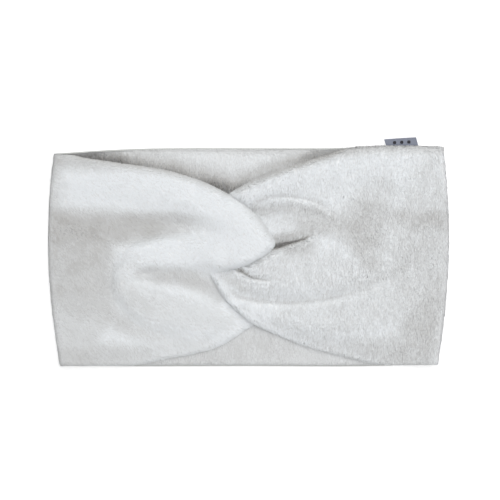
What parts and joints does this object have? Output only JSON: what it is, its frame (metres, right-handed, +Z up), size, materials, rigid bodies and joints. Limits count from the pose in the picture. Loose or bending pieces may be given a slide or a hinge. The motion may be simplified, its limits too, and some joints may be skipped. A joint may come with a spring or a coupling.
{
  "type": "spa headband",
  "caption": "Wide plush headband lying flat: two padded front wings hooked into a twist knot over a flat back panel, joined at the sides into a loop, with a small label tab.",
  "frame": {"origin": "centre of the bounding box, on the table that the flat band lies on", "axes": "+X along the band to the end that has the label, +Y across the band to the edge that has the label, +Z up out of the table through the knot"},
  "size_m": [0.2406, 0.1374, 0.0255],
  "materials": {
    "plush": "short soft pile, matte",
    "plush_lining": "short ribbed pile, matte",
    "seam_cord": "thread and turned edge",
    "woven_label": "fine satin weave, slightly glossy"
  },
  "bodies": {
    "back_center": {"back_outer_center": "plush", "back_inner_center": "plush_lining", "back_top_seam_center": "seam_cord", "back_bottom_seam_center": "seam_cord"},
    "back_left": {"back_outer_left": "plush", "back_inner_left": "plush_lining", "back_top_seam_left": "seam_cord", "back_bottom_seam_left": "seam_cord", "left_side_seam": "seam_cord"},
    "front_left": {"left_wing_outer": "plush", "left_wing_lining": "plush_lining", "left_wing_top_seam": "seam_cord", "left_wing_bottom_seam": "seam_cord"},
    "knot": {"left_hook": "plush", "left_hook_lining": "plush_lining", "right_hook": "plush", "right_hook_lining": "plush_lining"},
    "front_right": {"right_wing_outer": "plush", "right_wing_lining": "plush_lining", "right_wing_top_seam": "seam_cord", "right_wing_bottom_seam": "seam_cord"},
    "back_right": {"back_outer_right": "plush", "back_inner_right": "plush_lining", "back_top_seam_right": "seam_cord", "back_bottom_seam_right": "seam_cord", "right_side_seam": "seam_cord", "label_root": "woven_label"},
    "label": {"label_flap": "woven_label"}
  },
  "joints": [
    {"name": "loop_open", "type": "hinge", "parent": "back_center", "child": "back_left", "pos_m": [-0.05, 0, 0.0067], "axis": [0, 1, 0], "range_deg": [0, 60]},
    {"name": "left_side_fold", "type": "hinge", "parent": "back_left", "child": "front_left", "pos_m": [-0.1204, 0, 0.00685], "axis": [0, 1, 0], "range_deg": [-120, 0]},
    {"name": "front_left_fold", "type": "hinge", "parent": "front_left", "child": "knot", "pos_m": [-0.05, 0, 0.007], "axis": [0, 1, 0], "range_deg": [0, 60]},
    {"name": "front_right_fold", "type": "hinge", "parent": "knot", "child": "front_right", "pos_m": [0.05, 0, 0.007], "axis": [0, 1, 0], "range_deg": [0, 60]},
    {"name": "back_right_fold", "type": "hinge", "parent": "back_center", "child": "back_right", "pos_m": [0.05, 0, 0.0067], "axis": [0, 1, 0], "range_deg": [-60, 0]},
    {"name": "label_flip", "type": "hinge", "parent": "back_right", "child": "label", "pos_m": [0.0925, 0.0637, 0.00685], "axis": [1, 0, 0], "range_deg": [-75, 60], "stiffness_Nm_per_rad": 0.002}
  ],
  "couplings": [
    {"joint": "left_side_fold", "follows": "loop_open", "ratio": -2},
    {"joint": "front_left_fold", "follows": "loop_open", "ratio": 1},
    {"joint": "front_right_fold", "follows": "loop_open", "ratio": 1},
    {"joint": "back_right_fold", "follows": "loop_open", "ratio": -1}
  ]
}
